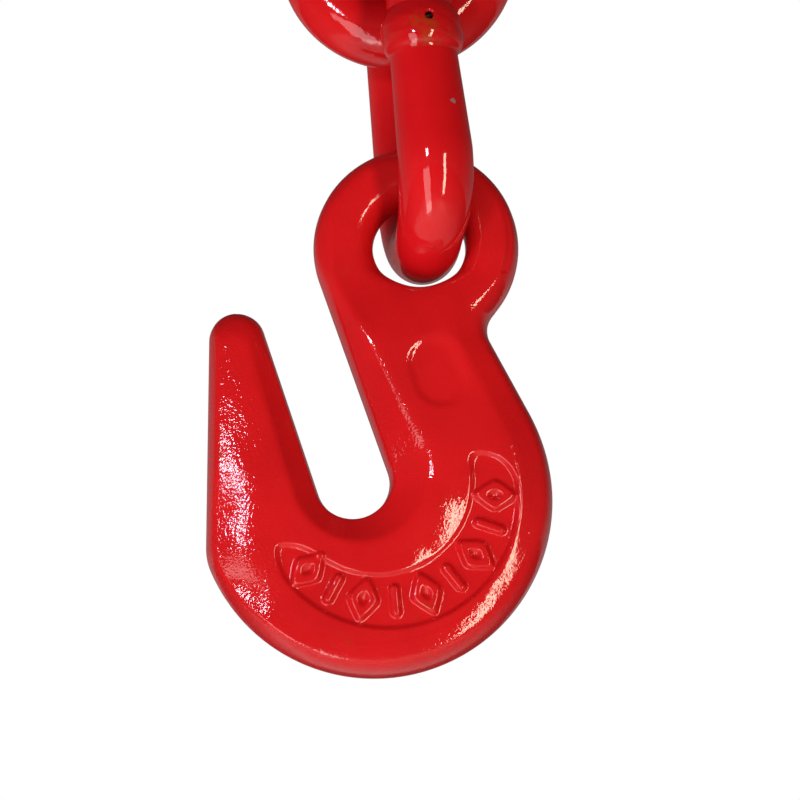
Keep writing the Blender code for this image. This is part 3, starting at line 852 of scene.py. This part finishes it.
def spread_points():
    """Points for the flat mesh: rim rows, ridge rows, a fine grid on the pad, a coarse one elsewhere."""
    rims = [chain_points(edge_chain, RIM_STEP)]
    count = round(math.tau * BORE[2] / RIM_STEP)
    turns = [math.tau * step / count for step in range(count)]
    rims.append([np.array((BORE[0] + BORE[2] * math.cos(turn), BORE[1] + BORE[2] * math.sin(turn)))
                 for turn in turns])
    rows = []
    for depth in RIM_DEPTHS:
        rows.append(chain_points(chain(OUTLINE, depth, closed=True), RIM_STEP))
    for depth in BORE_DEPTHS:
        rows.append([np.array((BORE[0] + (BORE[2] + depth) * math.cos(turn),
                               BORE[1] + (BORE[2] + depth) * math.sin(turn))) for turn in turns])
    ridge_rows = []
    for offset in RIDGE_OFFSETS:
        circles = tuple((circle[0], circle[1], circle[2] - offset) for circle in RIDGE)
        ridge_rows.extend(chain_points(chain(circles, start=top_of(circles[0]), end=top_of(circles[2])),
                                       RIM_STEP))
    grids = []
    for spacing in (FINE_STEP, COARSE_STEP):
        grid = [(across + (row % 2) * spacing / 2.0, up)
                for row, up in enumerate(np.arange(*GRID_Z, spacing * math.sqrt(0.75)))
                for across in np.arange(*GRID_X, spacing)]
        grid = np.array(grid)
        inside = (chain_gap(grid, edge_chain) > spacing) & (
            np.hypot(grid[:, 0] - BORE[0], grid[:, 1] - BORE[1]) > BORE[2] + spacing)
        if spacing == FINE_STEP:
            inside &= pad_zone(grid)
        grids.append(grid[inside])
    return rims, rows, ridge_rows, grids


def pad_zone(points):
    """Where the fine grid is wanted: the pad with its fillets."""
    outer = np.hypot(points[:, 0] - PAD_OUTER[0], points[:, 1] - PAD_OUTER[1]) < PAD_OUTER[2] + 0.6
    inner = np.hypot(points[:, 0] - PAD_INNER[0], points[:, 1] - PAD_INNER[1]) > PAD_INNER[2] - 0.8
    return outer & inner & (points[:, 0] > PAD_LEFT_X - 1.0) & (points[:, 1] < PAD_TOP_Z + 1.0)


def thinned(points, kept, clearance):
    """Those of the points that lie clear of the ones already kept."""
    tree = kdtree.KDTree(len(kept))
    for index, point in enumerate(kept):
        tree.insert((point[0], point[1], 0.0), index)
    tree.balance()
    return [point for point in points if tree.find((point[0], point[1], 0.0))[2] > clearance]


def flat_triangles():
    """Triangles over the hook's outline, with the bore left open."""
    rims, rows, ridge_rows, grids = spread_points()
    kept = []
    edges = []
    for rim in rims:
        first = len(kept)
        kept.extend(rim)
        edges.extend((first + index, first + (index + 1) % len(rim)) for index in range(len(rim)))
    ridge_rows = np.array(ridge_rows)
    clear = (chain_gap(ridge_rows, edge_chain) > 0.5) & (
        np.hypot(ridge_rows[:, 0] - BORE[0], ridge_rows[:, 1] - BORE[1]) > BORE[2] + 4.0)
    clear &= ridge_rows[:, 1] < RIDGE_TOP_Z
    ridge_kept = thinned(list(ridge_rows[clear]), kept, 0.3)
    for row in rows:
        kept.extend(thinned(row, ridge_kept, 0.2))
    kept.extend(ridge_kept)
    kept.extend(thinned(grids[0], kept, FINE_STEP * 0.6))
    kept.extend(thinned(grids[1], kept, COARSE_STEP * 0.6))
    verts, _, faces, _, _, _ = delaunay_2d_cdt([Vector(point) for point in kept], edges, [], 0, 1e-6)
    spots = np.array(verts)
    faces = np.array([face for face in faces if len(face) == 3])
    middles = spots[faces].mean(axis=1)
    metal = (chain_gap(middles, edge_chain) > SLIVER) & (
        np.hypot(middles[:, 0] - BORE[0], middles[:, 1] - BORE[1]) > BORE[2] - 0.01)
    return spots, faces[metal]


def hook_mesh():
    """Two faces of the forging over the same flat triangles, joined round every rim."""
    spots, faces = flat_triangles()
    half = forged_half(spots)
    sink = pad_sink(spots)
    edge_gap = chain_gap(spots, edge_chain)
    calm = ramp(np.minimum(edge_gap, np.hypot(spots[:, 0] - BORE[0], spots[:, 1] - BORE[1]) - BORE[2]),
                0.0, 2.0)
    front = half - sink + mark_rise(spots) + calm * die_waviness(spots, 3)
    back = half - sink + calm * die_waviness(spots, 8)
    across = HOOK_HINGE.x + (spots[:, 0] - BORE[0] - BAR_IN_BORE) * MM
    up = HOOK_HINGE.z + (spots[:, 1] - BORE[1]) * MM
    limit = BODY_HALF * MM
    near = np.stack((across, -np.minimum(front * MM, limit), up), axis=1)
    far = np.stack((across, np.minimum(back * MM, limit), up), axis=1)
    count = len(spots)
    runs = {(int(a), int(b)) for face in faces for a, b in zip(face, np.roll(face, -1))}
    rim = [run for run in runs if run[::-1] not in runs]
    walls = [(end, start, start + count, end + count) for start, end in rim]
    all_faces = [tuple(map(int, face)) for face in faces]
    all_faces += [tuple(int(index) + count for index in face[::-1]) for face in faces]
    mesh = bpy.data.meshes.new("forged_grab_hook")
    mesh.from_pydata(np.vstack((near, far)).tolist(), [], all_faces + walls)
    work = bmesh.new()
    work.from_mesh(mesh)
    bmesh.ops.delete(work, geom=[vert for vert in work.verts if not vert.link_faces], context="VERTS")
    work.to_mesh(mesh)
    work.free()
    return mesh


hook = shown("forged_grab_hook", hook_mesh())
# Enamel dipped over forged scale on the hook: the grain shows as speckle where a light is mirrored.
hook.data.materials.append(enamel("dipped_enamel_on_forged_hook", "#CE181C", "#8A3A14", 0.030 * MM,
                                  {"deep": "#C0151A", "thin_from": 0.63, "grain": 1.0, "left_grain": 1.7,
                                   "rough": 0.04}))
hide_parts("grab_hook")
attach(hook, "hook")

# ---- Floor, light and camera ------------------------------------------------------
# A pale floor well below the hanging hook, a tall warm strip low on the right, a soft box
# and two small lamps on the left, three fills, and a pale room that is brighter behind.

VIEW_TARGET = Vector((0.38, 0.0, -152.18)) * MM
VIEW_DISTANCE = 400.0 * MM
VIEW_RISE = math.radians(-12.0)
VIEW_LENS = 95.4
FLOOR_Z = -0.55
FLOOR_REACH = 3.0


def aimed(bearing, rise, distance):
    """Place at this bearing right of the viewer's side and this rise, seen from the hook."""
    bearing, rise = math.radians(bearing), math.radians(rise)
    way = Vector((math.sin(bearing) * math.cos(rise), -math.cos(bearing) * math.cos(rise),
                  math.sin(rise)))
    return VIEW_TARGET + way * distance


def soft_light(name, place, width, height, radiance, colour, mirrored=True):
    """Area light towards the hook; one that isn't mirrored only fills, with no gleam of its own."""
    light = bpy.data.lights.new(name, "AREA")
    light.shape = "RECTANGLE"
    light.size = width
    light.size_y = height
    light.energy = radiance * math.pi * width * height
    light.color = linear(colour)[:3]
    holder = bpy.data.objects.new(name, light)
    holder.location = place
    holder.rotation_euler = (VIEW_TARGET - place).to_track_quat("-Z", "Y").to_euler()
    holder.visible_camera = False
    holder.visible_glossy = mirrored
    bpy.context.scene.collection.objects.link(holder)


soft_light("warm_strip", aimed(26.0, -12.0, 0.55), 0.065, 0.42, 20.0, "#FFE8D0")
soft_light("low_left_box", aimed(-30.0, -23.0, 0.5), 0.17, 0.31, 3.4, "#FFF2F2")
soft_light("high_left_lamp", aimed(-25.0, 8.0, 0.5), 0.055, 0.055, 52.0, "#F2EEFF")
soft_light("low_left_lamp", aimed(-29.0, -46.0, 0.5), 0.13, 0.10, 6.0, "#FFF6F0")
soft_light("left_fill", aimed(-75.0, -10.0, 0.6), 0.4, 0.4, 3.3, "#FFFFFF", mirrored=False)
soft_light("back_fill", aimed(160.0, 10.0, 0.6), 0.4, 0.4, 4.0, "#FFFFFF", mirrored=False)
soft_light("back_left_fill", aimed(-150.0, -5.0, 0.6), 0.4, 0.4, 2.5, "#FFFFFF", mirrored=False)

world = bpy.data.worlds.new("pale_room")
world.use_nodes = True
tree = world.node_tree
tree.nodes.clear()
way = add(tree, "ShaderNodeSeparateXYZ", {0: add(tree, "ShaderNodeTexCoord").outputs["Generated"]})
behind = add(tree, "ShaderNodeMapRange", {0: way.outputs[1], 1: -0.2, 2: 0.6, 3: 0.08, 4: 0.32})
below = add(tree, "ShaderNodeMapRange", {0: way.outputs[2], 1: 0.1, 2: -0.8, 4: 0.09})
above = add(tree, "ShaderNodeMapRange", {0: way.outputs[2], 1: -0.15, 2: 0.5, 3: 1.0, 4: 0.15})
upper = add(tree, "ShaderNodeMath", {0: behind.outputs[0], 1: above.outputs[0]}, operation="MULTIPLY")
room = add(tree, "ShaderNodeMath", {0: upper.outputs[0], 1: below.outputs[0]}, operation="ADD")
lit = add(tree, "ShaderNodeBackground", {"Color": linear("#FFFFFF"), "Strength": room.outputs[0]})
seen = add(tree, "ShaderNodeBackground", {"Color": linear("#FFFFFF"), "Strength": 1.0})
path = add(tree, "ShaderNodeLightPath")
both = add(tree, "ShaderNodeMixShader", {0: path.outputs["Is Camera Ray"], 1: lit.outputs[0],
                                         2: seen.outputs[0]})
add(tree, "ShaderNodeOutputWorld", {0: both.outputs[0]})
bpy.context.scene.world = world
bpy.context.scene.view_settings.view_transform = "Standard"

floor_mesh = bpy.data.meshes.new("pale_floor")
corners = [(-FLOOR_REACH, -FLOOR_REACH), (FLOOR_REACH, -FLOOR_REACH), (FLOOR_REACH, FLOOR_REACH),
           (-FLOOR_REACH, FLOOR_REACH)]
floor_mesh.from_pydata([(*corner, FLOOR_Z) for corner in corners], [], [(0, 1, 2, 3)])
floor = bpy.data.objects.new("pale_floor", floor_mesh)
bpy.context.scene.collection.objects.link(floor)
paper = bpy.data.materials.new("matt_white_paper")
paper.use_nodes = True
tree = paper.node_tree
tree.nodes["Principled BSDF"].inputs["Base Color"].default_value = linear("#F4F4F4")
tree.nodes["Principled BSDF"].inputs["Roughness"].default_value = 0.9
path = add(tree, "ShaderNodeLightPath")
paper_glow = add(tree, "ShaderNodeMath", {0: path.outputs["Is Camera Ray"], 1: 0.6}, operation="MULTIPLY")
tree.links.new(paper_glow.outputs[0], tree.nodes["Principled BSDF"].inputs["Emission Strength"])
tree.nodes["Principled BSDF"].inputs["Emission Color"].default_value = linear("#FFFFFF")
floor_mesh.materials.append(paper)

camera_data = bpy.data.cameras.new("camera")
camera_data.lens = VIEW_LENS
camera_data.sensor_width = 36.0
camera = bpy.data.objects.new("camera", camera_data)
camera.location = aimed(0.0, math.degrees(VIEW_RISE), VIEW_DISTANCE)
camera.rotation_euler = (VIEW_TARGET - camera.location).to_track_quat("-Z", "Y").to_euler()
bpy.context.scene.collection.objects.link(camera)
bpy.context.scene.camera = camera
